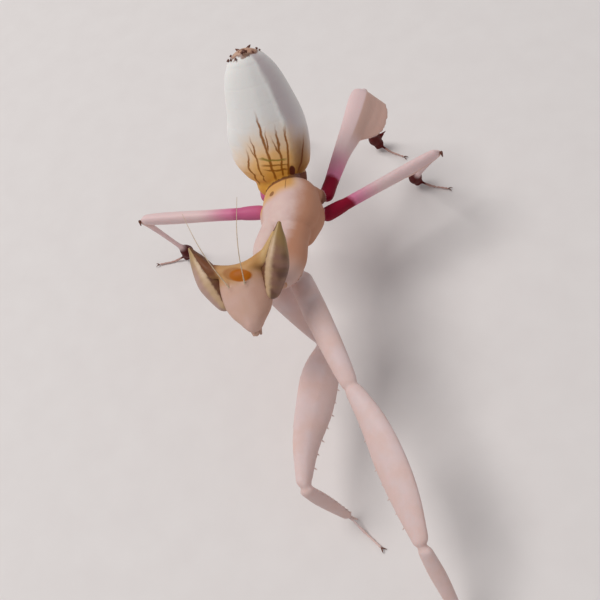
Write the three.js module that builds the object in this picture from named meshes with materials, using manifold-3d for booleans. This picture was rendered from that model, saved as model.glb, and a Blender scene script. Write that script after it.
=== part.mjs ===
// Orchid mantis nymph, life size, standing still on six feet with its abdomen raised.
// Millimetres, +Z up, the floor at z = 0. The animal faces -Y, and its left side is +X.
import * as THREE from 'three';
import { mergeVertices } from 'three/addons/utils/BufferGeometryUtils.js';
import Module from 'manifold-3d';

const wasm = await Module();
wasm.setup();

const at = (x, y, z) => new THREE.Vector3(x, y, z);
const rad = THREE.MathUtils.degToRad;

// ---- Driving sizes ----
const TO_ORIGIN = at(0.31, 3.32, 0); // brings the middle of the footprint to the origin
const CUT_GAP = 0.06; // air between two pieces that meet
const SIDES = 10; // facets round a leg
const BODY_SIDES = 16; // facets round the head, thorax and abdomen
const WIDE_STEP = 0.2; // a longer share of a limb than this gets one more ring
const FLOOR_DEPTH = 4;
const FLOOR_SIZE = 60;

// Trunk joints, on the animal's middle plane.
const WAIST = at(0.05, 2.6, 8.3); // the rear end of the thorax
const ABDOMEN_ROOT = at(-0.3, 2.6, 8.3);
const THORAX_JOINT = at(0.4, -1.25, 8.5); // pronotum meets the rear thorax
const NECK = at(0.2, -4.9, 9.55);
const ABDOMEN_TIP = at(-1.3, 5.5, 15.5);
const ABDOMEN_BOW = at(-0.2, 0.35, 0);

// Head: its middle, how it is turned, and places on it (left, up, out of the face).
const HEAD_CENTRE = at(-1.15, -5.0, 11.55);
const HEAD_TURN = rad(-10);
const HEAD_TILT = rad(49);
const HEAD_ROLL = rad(20.5);
const CROWN_UP = 0;
const MOUTH_UP = -3.4;
const EYE_TIP = [2.52, 1.5, -0.6];
const EYE_FOOT = [1.15, -2.0, -0.1];
const NECK_ON_HEAD = [0, -1.3, -1.2];
const LIPS_TOP = [0, -3.25, 0];
const LIPS_END = [0, -3.85, -0.1];
const FEELER_ROOT = [0.34, -0.75, 0.35];
const FEELER_BEND = [0.8, 1.1, 1.15];
const FEELER_END = [1.5, 3.1, 0.9];
const FEELER_RADIUS = 0.25;

// Leg joints. A walking leg: hip, knee, ankle, toe. A foreleg: hip, elbow, knee, wrist, toe.
const LEGS = {
  hind_left: [at(1.7, 2.1, 6.95), at(3.6, 9.6, 7.7), at(3.2, 11.7, 0.6), at(5.2, 10.6, 0.1)],
  hind_right: [at(-1.6, 2.25, 7.0), at(-3.3, 9.9, 7.6), at(-3.0, 12.7, 0.6), at(-4.9, 13.9, 0.1)],
  mid_left: [at(1.6, 0.95, 6.95), at(7.95, 5.6, 6.3), at(5.9, 8.3, 0.6), at(8.2, 7.7, 0.1)],
  mid_right: [at(-1.5, 1.1, 7.2), at(-9.45, 1.6, 6.8), at(-8.9, 3.2, 0.6), at(-11.3, 2.7, 0.1)],
  fore_left: [at(1.0, -3.5, 8.2), at(4.0, -9.35, 6.75), at(7.5, -16.5, 5.4), at(8.95, -18.8, 1.2),
    at(10.6, -20.6, 0.1)],
  fore_right: [at(-1.0, -3.5, 8.2), at(1.95, -5.2, 3.5), at(1.55, -13.8, 4.7), at(3.1, -14.0, 0.65),
    at(4.9, -15.5, 0.1)],
};
const COXA_SHARE = 0.16; // the short first piece of a walking leg, as a share of hip to knee

// Profiles: rows of [share of the length, half thickness, height above, depth below].
const evenRow = (share, radius) => [share, radius, radius, radius];
const THORAX = [
  [0, 1.15, 0.95, 0.9],
  [0.3, 1.6, 1.15, 1.25],
  [0.62, 1.7, 1.2, 1.35],
  [1, 1.25, 0.95, 0.95],
];
const PRONOTUM = [
  [0, 1.15, 0.85, 0.8],
  [0.3, 1.2, 0.85, 0.85],
  [0.65, 1.5, 0.85, 0.95],
  [1, 1.1, 0.7, 0.75],
];
const ABDOMEN = [
  [0, 1.45, 0.85, 0.8],
  [0.2, 2.1, 1.35, 1.35],
  [0.42, 2.22, 1.6, 1.55],
  [0.62, 1.8, 1.45, 1.4],
  [0.84, 1.2, 1.0, 1.0],
  [1, 0.6, 0.55, 0.55],
];
const NECK_ROWS = [evenRow(0, 0.28), evenRow(1, 0.28)];
const NECK_SPAN = [0.25, 0.95]; // shares of the way from the pronotum to the back of the head
const FACE = [
  [0, 0.8, 0.4, 0.75],
  [0.17, 1.25, 0.5, 1.0],
  [0.45, 1.4, 0.55, 1.05],
  [0.7, 1.1, 0.52, 0.85],
  [0.88, 0.55, 0.46, 0.6],
  [1, 0.32, 0.32, 0.32],
];
const EYE = [
  [0, 0.3, 0.32, 0.32],
  [0.22, 0.6, 0.62, 0.6],
  [0.46, 0.76, 0.74, 0.7],
  [0.76, 0.46, 0.48, 0.46],
  [1, 0.16, 0.17, 0.17],
];
const MOUTH_ROWS = [evenRow(0, 0.3), evenRow(1, 0.25)];
const WALK_COXA = [evenRow(0, 0.5), evenRow(1, 0.4)];
const HIND_FEMUR = [
  [0, 0.34, 0.36, 0.4],
  [0.4, 0.38, 0.5, 0.7],
  [0.58, 0.36, 0.55, 1.9],
  [0.74, 0.36, 0.55, 2.3],
  [0.88, 0.34, 0.5, 1.8],
  [1, 0.3, 0.38, 0.55],
];
const MID_FEMUR = [
  [0, 0.34, 0.34, 0.38],
  [0.3, 0.34, 0.38, 0.5],
  [0.66, 0.34, 0.4, 1.1],
  [0.85, 0.32, 0.38, 0.85],
  [1, 0.29, 0.33, 0.35],
];
const WALK_TIBIA = [evenRow(0, 0.29), evenRow(0.35, 0.26), evenRow(0.8, 0.28), evenRow(1, 0.29)];
const TARSUS = [evenRow(0, 0.26), evenRow(0.5, 0.25), evenRow(1, 0.25)];
const FORE_COXA = [
  [0, 0.62, 0.75, 0.75],
  [0.4, 0.6, 0.75, 0.75],
  [0.8, 0.5, 0.62, 0.62],
  [1, 0.4, 0.45, 0.45],
];
const FORE_FEMUR = [
  [0, 0.38, 0.42, 0.42],
  [0.25, 0.5, 0.85, 0.72],
  [0.5, 0.55, 1.15, 0.85],
  [0.72, 0.48, 0.95, 0.72],
  [1, 0.33, 0.36, 0.38],
];
const FORE_TIBIA = [
  [0, 0.32, 0.34, 0.34],
  [0.4, 0.33, 0.38, 0.4],
  [1, 0.25, 0.27, 0.27],
];
const FEELER_ROWS = [evenRow(0, FEELER_RADIUS), evenRow(1, FEELER_RADIUS)];

// Spines under the forelegs.
const SPINE_LEAN = at(-0.2, 0.4, -0.67);
const SPINE_SIDES = 5;
const SPINE_RADIUS = 0.25;
const FEMUR_SPINE_LENGTH = 0.6;
const TIBIA_SPINE_LENGTH = 0.45;
const CLAW_LENGTH = 0.95;
const FEMUR_SPINES = [0.3, 0.78, 5]; // first and last share of the length, and how many
const TIBIA_SPINES = [0.4, 0.75, 3];

// ---- Colours of the animal ----
const CREAM = 0xe9dcd3;
const PINK_WHITE = 0xe6d5cf;
const TAN = 0xc3a691;
const BURGUNDY = 0x74203a;
const DARK_BROWN = 0x4b1719;
const OLIVE_CREAM = 0xd9cfa4;

function skin(color, roughness = 0.55) {
  return new THREE.MeshStandardMaterial({ color, roughness, metalness: 0 });
}

// ---- Shape helpers ----
function rowAt(rows, t) {
  const next = Math.max(1, rows.findIndex(([share]) => share >= t));
  const [a, b] = [rows[next - 1], rows[next]];
  const u = THREE.MathUtils.smoothstep(t, a[0], b[0]);
  return [1, 2, 3].map((i) => a[i] + (b[i] - a[i]) * u);
}

// Shares of the length, and how far the section has opened there: two rings round off each end.
function stations(rows, length, grow) {
  const cap = (row) => Math.min(row[1], row[2], row[3]) + grow;
  const opening = [rad(28), rad(62)];
  const ends = (reach) => opening.map((a) => [reach * (1 - Math.cos(a)), Math.sin(a)]);
  const head = ends(cap(rows[0]) / length);
  const tail = ends(cap(rows[rows.length - 1]) / length).map(([s, open]) => [1 - s, open]).reverse();
  const first = cap(rows[0]) / length;
  const last = 1 - cap(rows[rows.length - 1]) / length;
  const inner = rows.map(([share]) => share).filter((t) => t > first + 0.04 && t < last - 0.04);
  const knots = [first, ...inner, last];
  const wide = (i) => i > 0 && knots[i] - knots[i - 1] > WIDE_STEP;
  const middle = knots.flatMap((t, i) => (wide(i) ? [(knots[i - 1] + t) / 2, t] : [t]));
  return [...head, ...middle.map((t) => [t, 1]), ...tail];
}

// A closed limb from one joint to the next, its section an egg: half thick, so high and so deep.
function limb(from, to, below, rows, { grow = 0, sides = SIDES, bow = at(0, 0, 0) } = {}) {
  const axis = to.clone().sub(from).normalize();
  const start = from.clone().addScaledVector(axis, -grow);
  const end = to.clone().addScaledVector(axis, grow);
  const length = start.distanceTo(end);
  const side = new THREE.Vector3().crossVectors(axis, below).normalize();
  const above = new THREE.Vector3().crossVectors(side, axis).normalize();
  if (above.dot(below) > 0) above.negate();
  const places = [...start.toArray()];
  const rings = stations(rows, length, grow);
  for (const [t, open] of rings) {
    const [half, high, deep] = rowAt(rows, t).map((r) => (r + grow) * open);
    const centre = start.clone().lerp(end, t).addScaledVector(bow, Math.sin(Math.PI * t));
    for (let i = 0; i < sides; i += 1) {
      const a = (2 * Math.PI * i) / sides;
      const rise = Math.sin(a) > 0 ? high : deep;
      const spot = centre.clone().addScaledVector(side, half * Math.cos(a));
      places.push(...spot.addScaledVector(above, rise * Math.sin(a)).toArray());
    }
  }
  places.push(...end.toArray());
  return closedRings(places, rings.length, sides, new THREE.Vector3().crossVectors(side, above).dot(axis));
}

function closedRings(places, ringCount, sides, handed) {
  const faces = [];
  const face = (a, b, c) => faces.push(...(handed > 0 ? [a, b, c] : [a, c, b]));
  const last = places.length / 3 - 1;
  for (let i = 0; i < sides; i += 1) {
    const j = (i + 1) % sides;
    face(0, 1 + j, 1 + i);
    for (let r = 0; r < ringCount - 1; r += 1) {
      const [low, high] = [1 + r * sides, 1 + (r + 1) * sides];
      face(low + i, low + j, high + j);
      face(low + i, high + j, high + i);
    }
    const top = 1 + (ringCount - 1) * sides;
    face(top + i, top + j, last);
  }
  const geometry = new THREE.BufferGeometry();
  geometry.setAttribute('position', new THREE.Float32BufferAttribute(places, 3));
  geometry.setIndex(faces);
  return geometry;
}

function cone(root, tip, radius) {
  const axis = tip.clone().sub(root);
  const geometry = new THREE.ConeGeometry(radius, axis.length(), SPINE_SIDES);
  geometry.translate(0, axis.length() / 2, 0);
  geometry.applyQuaternion(new THREE.Quaternion().setFromUnitVectors(at(0, 1, 0), axis.normalize()));
  return geometry.translate(root.x, root.y, root.z);
}

function toSolid(geometry) {
  const bare = geometry.clone();
  bare.deleteAttribute('normal');
  bare.deleteAttribute('uv');
  const merged = mergeVertices(bare, 1e-4);
  const vertProperties = new Float32Array(merged.attributes.position.array);
  const triVerts = new Uint32Array(merged.index.array);
  return new wasm.Manifold(new wasm.Mesh({ numProp: 3, vertProperties, triVerts }));
}

function toGeometry(solid) {
  const mesh = solid.getMesh();
  const geometry = new THREE.BufferGeometry();
  geometry.setAttribute('position', new THREE.Float32BufferAttribute(mesh.vertProperties, 3));
  geometry.setIndex(Array.from(mesh.triVerts));
  return geometry;
}

function joined(geometry, extras) {
  return toGeometry(extras.reduce((whole, extra) => whole.add(toSolid(extra)), toSolid(geometry)));
}

function cutBy(geometry, cutters) {
  return toGeometry(cutters.reduce((rest, cutter) => rest.subtract(toSolid(cutter)), toSolid(geometry)));
}

const floorBlock = new THREE.BoxGeometry(FLOOR_SIZE, FLOOR_SIZE, FLOOR_DEPTH);
floorBlock.translate(0, 0, -FLOOR_DEPTH / 2);

const model = new THREE.Group();
model.name = 'orchid_mantis';

function show(name, geometry, material, parent = model) {
  geometry.computeVertexNormals();
  const mesh = new THREE.Mesh(geometry, material);
  mesh.name = name;
  parent.add(mesh);
}

function groupOf(name) {
  const group = new THREE.Group();
  group.name = name;
  model.add(group);
  return group;
}

// ---- Trunk ----
const BELLY = at(0, 0, -1);
const round = { sides: BODY_SIDES };
const swollen = { sides: BODY_SIDES, grow: CUT_GAP };

const thoraxShape = (opts) => limb(WAIST, THORAX_JOINT, BELLY, THORAX, opts);
const pronotumShape = (opts) => limb(THORAX_JOINT, NECK, BELLY, PRONOTUM, opts);
const abdomenShape = (opts) => {
  const bowed = { ...opts, bow: ABDOMEN_BOW };
  return limb(ABDOMEN_ROOT, ABDOMEN_TIP, at(0, 1, 0), ABDOMEN, bowed);
};

function addTrunk() {
  const trunk = groupOf('trunk');
  show('thorax', thoraxShape(round), skin(CREAM), trunk);
  show('pronotum', cutBy(pronotumShape(round), [thoraxShape(swollen)]), skin(CREAM), trunk);
  show('abdomen', cutBy(abdomenShape(round), [thoraxShape(swollen)]), skin(CREAM), trunk);
}

// ---- Head ----
function headAxes() {
  const face = at(Math.sin(HEAD_TURN) * Math.cos(HEAD_TILT), -Math.cos(HEAD_TURN) * Math.cos(HEAD_TILT),
    Math.sin(HEAD_TILT));
  const level = at(Math.cos(HEAD_TURN), Math.sin(HEAD_TURN), 0);
  const crown = new THREE.Vector3().crossVectors(face, level);
  const left = level.clone().applyAxisAngle(face, HEAD_ROLL);
  return { left, crown: crown.applyAxisAngle(face, HEAD_ROLL), face };
}

const headFrame = headAxes();

function onHead([left, up, out]) {
  return HEAD_CENTRE.clone().addScaledVector(headFrame.left, left).addScaledVector(headFrame.crown, up)
    .addScaledVector(headFrame.face, out);
}

const mirrored = ([left, up, out]) => [-left, up, out];
const BACK_OF_HEAD = headFrame.face.clone().negate();

const crown = onHead([0, CROWN_UP, 0]);
const mouth = onHead([0, MOUTH_UP, 0]);
const faceShape = (opts) => limb(crown, mouth, BACK_OF_HEAD, FACE, opts);
const eyeShape = (flip, opts) => limb(onHead(flip(EYE_FOOT)), onHead(flip(EYE_TIP)), BACK_OF_HEAD, EYE, opts);
const [neckStart, neckEnd] = NECK_SPAN.map((share) => NECK.clone().lerp(onHead(NECK_ON_HEAD), share));
const neckShape = (opts) => limb(neckStart, neckEnd, at(0, 1, 0), NECK_ROWS, opts);

function feeler(flip) {
  const [root, bend, end] = [FEELER_ROOT, FEELER_BEND, FEELER_END].map((p) => onHead(flip(p)));
  const low = root.clone().lerp(bend, 0.9);
  const lower = limb(root, bend, BACK_OF_HEAD, FEELER_ROWS, { sides: SPINE_SIDES });
  const upper = limb(low, end, BACK_OF_HEAD, FEELER_ROWS, { sides: SPINE_SIDES });
  return joined(lower, [upper]);
}

function addHead() {
  const head = groupOf('head_group');
  const asIs = (p) => p;
  const pronotum = pronotumShape(swollen);
  const eyes = [eyeShape(asIs, swollen), eyeShape(mirrored, swollen)];
  show('head', cutBy(faceShape(round), [...eyes, pronotum]), skin(TAN), head);
  show('eye_left', cutBy(eyeShape(asIs, round), [pronotum]), skin(OLIVE_CREAM, 0.3), head);
  show('eye_right', cutBy(eyeShape(mirrored, round), [pronotum]), skin(OLIVE_CREAM, 0.3), head);
  const face = faceShape(swollen);
  show('neck', neckShape(), skin(TAN), head);
  show('antenna_left', cutBy(feeler(asIs), [face, ...eyes]), skin(CREAM), head);
  show('antenna_right', cutBy(feeler(mirrored), [face, ...eyes]), skin(CREAM), head);
  const lips = limb(onHead(LIPS_TOP), onHead(LIPS_END), BACK_OF_HEAD, MOUTH_ROWS);
  show('mouthparts', cutBy(lips, [face]), skin(BURGUNDY), head);
}

// ---- Legs ----
const LOBE_BELOW = {
  hind_left: at(0.8, 0, -0.6),
  hind_right: at(-0.5, 0, -0.87),
  mid_left: at(0.05, 0.25, -0.95),
  mid_right: at(0.1, 0.45, -0.89),
};

function addWalkingLeg(name, femurRows) {
  const [hip, knee, ankle, toe] = LEGS[name];
  const leg = groupOf(name);
  const below = LOBE_BELOW[name];
  const shin = at(0, -1, 0.2);
  const elbow = hip.clone().lerp(knee, COXA_SHARE);
  const coxa = (opts) => limb(hip, elbow, below, WALK_COXA, opts);
  const femur = (opts) => limb(elbow, knee, below, femurRows, opts);
  const tibia = (opts) => limb(knee, ankle, shin, WALK_TIBIA, opts);
  const grown = { grow: CUT_GAP };
  const trunk = [thoraxShape(swollen), pronotumShape(swollen), abdomenShape(swollen)];
  show(`${name}_coxa`, cutBy(coxa(), trunk), skin(BURGUNDY), leg);
  show(`${name}_femur`, cutBy(femur(), [coxa(grown), ...trunk]), skin(PINK_WHITE), leg);
  show(`${name}_tibia`, cutBy(tibia(), [femur(grown)]), skin(TAN), leg);
  const foot = limb(ankle, toe, BELLY, TARSUS);
  show(`${name}_tarsus`, cutBy(foot, [tibia(grown), floorBlock]), skin(DARK_BROWN), leg);
}

// A row of spines that grows from inside the edge and leans off the flat of the leg.
function spineRow(from, to, below, rows, [first, last, count], length) {
  const axis = to.clone().sub(from).normalize();
  const edge = below.clone().addScaledVector(axis, -below.dot(axis)).normalize();
  const lean = edge.clone().multiplyScalar(0.6).add(SPINE_LEAN).normalize();
  return Array.from({ length: count }, (_, i) => {
    const t = first + ((last - first) * i) / (count - 1);
    const [half, , deep] = rowAt(rows, t);
    const root = from.clone().lerp(to, t).addScaledVector(edge, deep * 0.5);
    return cone(root, root.clone().addScaledVector(lean, half + length), SPINE_RADIUS);
  });
}

function addForeleg(name, below) {
  const [hip, elbow, knee, wrist, toe] = LEGS[name];
  const leg = groupOf(name);
  const coxa = (opts) => limb(hip, elbow, below, FORE_COXA, opts);
  const femur = (opts) => limb(elbow, knee, below, FORE_FEMUR, opts);
  const tibia = (opts) => limb(knee, wrist, below, FORE_TIBIA, opts);
  const grown = { grow: CUT_GAP };
  const trunk = [thoraxShape(swollen), pronotumShape(swollen), faceShape(swollen), neckShape(grown)];
  const femurSpines = spineRow(elbow, knee, below, FORE_FEMUR, FEMUR_SPINES, FEMUR_SPINE_LENGTH);
  const tibiaSpines = spineRow(knee, wrist, below, FORE_TIBIA, TIBIA_SPINES, TIBIA_SPINE_LENGTH);
  const clawTip = (grow) => wrist.clone().addScaledVector(below, CLAW_LENGTH + grow);
  const claw = (grow = 0) => cone(wrist, clawTip(grow), SPINE_RADIUS + grow);
  show(`${name}_coxa`, cutBy(coxa(), trunk), skin(PINK_WHITE), leg);
  show(`${name}_femur`, cutBy(joined(femur(), femurSpines), [coxa(grown)]), skin(PINK_WHITE), leg);
  const shank = joined(tibia(), [...tibiaSpines, claw()]);
  show(`${name}_tibia`, cutBy(shank, [femur(grown), floorBlock]), skin(PINK_WHITE), leg);
  const foot = limb(wrist, toe, BELLY, TARSUS);
  show(`${name}_tarsus`, cutBy(foot, [tibia(grown), claw(CUT_GAP), floorBlock]), skin(TAN), leg);
}

addTrunk();
addHead();
addWalkingLeg('hind_left', HIND_FEMUR);
addWalkingLeg('hind_right', HIND_FEMUR);
addWalkingLeg('mid_left', MID_FEMUR);
addWalkingLeg('mid_right', MID_FEMUR);
addForeleg('fore_left', at(-0.88, 0.1, -0.45).normalize());
addForeleg('fore_right', at(0.88, 0.1, -0.45).normalize());
model.position.copy(TO_ORIGIN);

export default model;
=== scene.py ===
# %% [markdown]
# # An orchid mantis nymph, life size
# A young orchid mantis looks like a small pale flower: a cream abdomen held up like a bud, pink
# legs with petal lobes, and a three-cornered head with pointed eyes. This lesson dresses a packed
# construction model. The construction holds the true sizes; here each surface gets its real look.

# %% Load the frame
import math

import bpy
import numpy as np
from mathutils import Matrix, Vector


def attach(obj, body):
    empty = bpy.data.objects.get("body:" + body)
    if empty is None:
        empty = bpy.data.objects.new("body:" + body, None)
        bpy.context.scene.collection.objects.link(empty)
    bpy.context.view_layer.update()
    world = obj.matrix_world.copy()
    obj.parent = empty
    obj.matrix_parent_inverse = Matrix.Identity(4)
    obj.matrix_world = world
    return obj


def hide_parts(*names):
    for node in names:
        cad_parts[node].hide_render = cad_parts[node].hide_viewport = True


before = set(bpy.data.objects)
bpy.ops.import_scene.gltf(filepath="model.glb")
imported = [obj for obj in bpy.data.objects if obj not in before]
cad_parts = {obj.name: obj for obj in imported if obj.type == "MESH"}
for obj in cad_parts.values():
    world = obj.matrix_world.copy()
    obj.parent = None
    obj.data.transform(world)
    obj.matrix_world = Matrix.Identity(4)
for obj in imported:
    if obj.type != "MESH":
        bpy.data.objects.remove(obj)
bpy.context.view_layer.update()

# %% [markdown]
# ## A bench in millimetres
# An insect is tiny, and many tools have a smallest step, so it is easier to model a thousand times
# larger: one bench unit is one real millimetre. Each finished piece is shrunk at the end, and its
# place is written into its mesh. The joints below are the construction's. Only the two ends of the
# abdomen and one middle hip are a few tenths of a millimetre off it, where the skin needs them.

# %% Joints of the body, in millimetres
BENCH_TO_METRES = 0.001
TO_ORIGIN = Vector((0.31, 3.32, 0))

WAIST = Vector((0.05, 2.6, 8.3))
THORAX_JOINT = Vector((0.4, -1.25, 8.5))
NECK = Vector((0.2, -4.9, 9.55))
ABDOMEN_ROOT = Vector((-0.4, 2.6, 8.3))
ABDOMEN_TIP = Vector((-1.12, 5.5, 15.5))
HEAD_CENTRE = Vector((-1.15, -5.0, 11.55))

LEG_JOINTS = {
    "hind_left": [(1.7, 2.1, 6.95), (3.6, 9.6, 7.7), (3.2, 11.7, 0.6), (5.2, 10.6, 0.1)],
    "hind_right": [(-1.6, 2.25, 7.0), (-3.3, 9.9, 7.6), (-3.0, 12.7, 0.6), (-4.9, 13.9, 0.1)],
    "mid_left": [(1.6, 0.95, 6.95), (7.95, 5.6, 6.3), (5.9, 8.3, 0.6), (8.2, 7.7, 0.1)],
    "mid_right": [(-1.5, 1.3, 7.28), (-9.45, 1.6, 6.8), (-8.9, 3.2, 0.6), (-11.3, 2.7, 0.1)],
    "fore_left": [(1.0, -3.5, 8.2), (4.0, -9.35, 6.75), (7.5, -16.5, 5.4), (8.95, -18.8, 1.2),
                  (10.6, -20.6, 0.1)],
    "fore_right": [(-1.0, -3.5, 8.2), (1.95, -5.2, 3.5), (1.55, -13.8, 4.7), (3.1, -14.0, 0.65),
                   (4.9, -15.5, 0.1)],
}
LEG_JOINTS = {name: [Vector(p) for p in points] for name, points in LEG_JOINTS.items()}
LOBE_BELOW = {
    "hind_left": Vector((0.8, 0, -0.6)),
    "hind_right": Vector((-0.5, 0, -0.87)),
    "mid_left": Vector((0.05, 0.25, -0.95)),
    "mid_right": Vector((0.1, 0.45, -0.89)),
    "fore_left": Vector((-0.88, 0.1, -0.45)).normalized(),
    "fore_right": Vector((0.88, 0.1, -0.45)).normalized(),
}
print("legs:", ", ".join(LEG_JOINTS))

# %% [markdown]
# ## The camera
# The animal is seen from above and in front, a little from its own left, and the camera is rolled,
# so the body leans in the picture. The angles and the distance are named, and the position follows
# from them, which keeps the view easy to adjust.

# %% Camera
VIEW_TURN = math.radians(26.456)
VIEW_HEIGHT = math.radians(57.127)
VIEW_ROLL = math.radians(-24.269)
VIEW_DISTANCE = 50.519
VIEW_RIGHT = 1.088
VIEW_UP = 0.292
FOCAL_SHARE = 800 / 600  # focal length over the picture's width
SENSOR = 36
NEAREST_SEEN = 0.001  # metres, since the whole animal is a few centimetres

toward_camera = Vector((
    math.sin(VIEW_TURN) * math.cos(VIEW_HEIGHT),
    -math.cos(VIEW_TURN) * math.cos(VIEW_HEIGHT),
    math.sin(VIEW_HEIGHT),
))
level_right = Vector((math.cos(VIEW_TURN), math.sin(VIEW_TURN), 0))
level_up = toward_camera.cross(level_right)
picture_right = math.cos(VIEW_ROLL) * level_right + math.sin(VIEW_ROLL) * level_up
picture_up = math.cos(VIEW_ROLL) * level_up - math.sin(VIEW_ROLL) * level_right

eye_point = toward_camera * VIEW_DISTANCE - picture_right * VIEW_RIGHT - picture_up * VIEW_UP
camera_data = bpy.data.cameras.new("view")
camera_data.sensor_width = SENSOR
camera_data.lens = SENSOR * FOCAL_SHARE
camera_data.clip_start = NEAREST_SEEN
camera = bpy.data.objects.new("view", camera_data)
bpy.context.scene.collection.objects.link(camera)
turn = Matrix((picture_right, picture_up, toward_camera)).transposed()
camera.matrix_world = Matrix.Translation((eye_point + TO_ORIGIN) * BENCH_TO_METRES) @ turn.to_4x4()
bpy.context.scene.camera = camera
print("camera at", [round(c, 4) for c in camera.location])

# %% [markdown]
# ## Drawing out a limb
# Every part of an insect is a tube of hard skin that swells and narrows. One could sculpt it, or
# sweep a curve, but the plainest way is the one used by hand: start from a flat disc, extrude it a
# little, scale it, and repeat. Rows of numbers say how thick, high and deep the limb is at shares
# of its length, and a smooth curve through the rows gives the rings between them.

# %% Profiles
def even(share, radius):
    return (share, radius, radius, radius)


def row_at(rows, share):
    """Half thickness, height and depth at a share of the length, on a smooth curve."""
    shares = [row[0] for row in rows]
    i = min(max(np.searchsorted(shares, share) - 1, 0), len(rows) - 2)
    a, b = rows[i], rows[i + 1]
    before, after = rows[max(i - 1, 0)], rows[min(i + 2, len(rows) - 1)]
    span = b[0] - a[0]
    u = (share - a[0]) / span
    sizes = []
    for k in (1, 2, 3):
        slope_a = (b[k] - before[k]) / (b[0] - before[0]) * span
        slope_b = (after[k] - a[k]) / (after[0] - a[0]) * span
        sizes.append((2 * u**3 - 3 * u**2 + 1) * a[k] + (u**3 - 2 * u**2 + u) * slope_a
                     + (3 * u**2 - 2 * u**3) * b[k] + (u**3 - u**2) * slope_b)
    return sizes


CAP_ANGLES = [math.radians(a) for a in (10, 26, 44, 66)]


def stations(rows, length, steps):
    """Shares of the length with how far the ring is open there; the ends are rounded off."""
    start_cap = min(rows[0][1:]) / length
    end_cap = min(rows[-1][1:]) / length
    inner = np.linspace(start_cap, 1 - end_cap, steps)
    return ([(start_cap * (1 - math.cos(a)), math.sin(a)) for a in CAP_ANGLES]
            + [(float(t), 1.0) for t in inner]
            + [(1 - end_cap * (1 - math.cos(a)), math.sin(a)) for a in reversed(CAP_ANGLES)])


print("rings that round off each end:", len(CAP_ANGLES))


# %% The drawing tool
def nothing_selected():
    bpy.ops.object.select_all(action="DESELECT")


def limb_frame(start, end, below):
    """Side, above and along directions of a limb, as columns."""
    along = (end - start).normalized()
    side = along.cross(below).normalized()
    above = along.cross(side)
    return Matrix((side, above, along)).transposed()


def mean_reach(cuts):
    """Mean distance from the middle to the points of a square whose corners are at 1."""
    steps = np.arange(cuts + 1) / (cuts + 1)
    return float(np.hypot(1 - steps, steps).mean())


def draw_limb(name, start, end, below, rows, steps=12, ring_cuts=5, roundness=1.0, bow=None):
    """One closed limb; roundness 1 is an oval section, less leaves a ridge on each side."""
    length = (end - start).length
    turn = limb_frame(start, end, below)
    bend = turn.transposed() @ bow if bow else Vector((0, 0, 0))
    nothing_selected()
    bpy.ops.mesh.primitive_circle_add(vertices=4, radius=1, fill_type="NOTHING")
    limb = bpy.context.object
    limb.name = name
    bpy.ops.object.mode_set(mode="EDIT")
    bpy.ops.mesh.subdivide(number_cuts=ring_cuts)
    bpy.ops.transform.tosphere(value=roundness)
    regain = 1 / (1 - roundness + roundness * mean_reach(ring_cuts))
    bpy.ops.transform.resize(value=(regain, regain, 1))
    bpy.ops.mesh.edge_face_add()
    was_wide, was_tall = 1.0, 1.0
    was_at = Vector((0, 0, 0))
    for number, (share, open_by) in enumerate(stations(rows, length, steps)):
        half, high, deep = (size * open_by for size in row_at(rows, share))
        wide, tall = half, (high + deep) / 2
        sway = math.sin(math.pi * share)
        here = Vector((bend.x * sway, (high - deep) / 2 + bend.y * sway, share * length))
        if number:
            bpy.ops.mesh.extrude_region_move(TRANSFORM_OT_translate={"value": here - was_at})
        else:
            bpy.ops.transform.translate(value=here)
        bpy.ops.transform.resize(value=(wide / was_wide, tall / was_tall, 1), center_override=here)
        was_wide, was_tall, was_at = wide, tall, here
    bpy.ops.mesh.select_all(action="SELECT")
    bpy.ops.mesh.normals_make_consistent(inside=False)
    bpy.ops.object.mode_set(mode="OBJECT")
    limb.matrix_world = Matrix.Translation(start) @ turn.to_4x4()
    bpy.ops.object.transform_apply(location=True, rotation=True, scale=True)
    return limb


print("a square's mean reach, with 5 cuts a side:", round(mean_reach(5), 3))


# %% [markdown]
# ## Remembering what each place is
# The skin will be one piece, but its colours follow the animal: wine red at the roots of the legs,
# a yellow fan at the root of the abdomen. So each limb that becomes flesh is noted here, with the
# name of its region and the stretch of the pattern that it carries.

# %% Flesh notes
flesh_pieces = []
flesh_notes = []


def flesh(name, region, start, end, below, rows, stretch=(0.0, 1.0), flank=0, **how):
    """Draw a limb and note its pattern; flank is 1 or -1 for a piece that is all left or right.

    A piece with no region only adds bulk, and its surface takes the pattern of its neighbours.
    """
    flesh_pieces.append(draw_limb(name, start, end, below, rows, **how))
    if region:
        flesh_notes.append({"region": region, "start": start, "end": end, "rows": rows,
                            "turn": limb_frame(start, end, below), "stretch": stretch,
                            "flank": flank, "bow": how.get("bow") or Vector((0, 0, 0))})


# %% [markdown]
# ## The trunk
# The rear thorax is a broad dome that carries four legs, the pronotum in front of it narrows like a
# waist and widens again behind the head, and the abdomen is a bud. A full abdomen is never even, so
# a second, shorter bud swells its right side, and a thin keel makes the soft ridge where the upper
# and lower plates meet. Round pieces fill the places where the legs leave the thorax.

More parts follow.
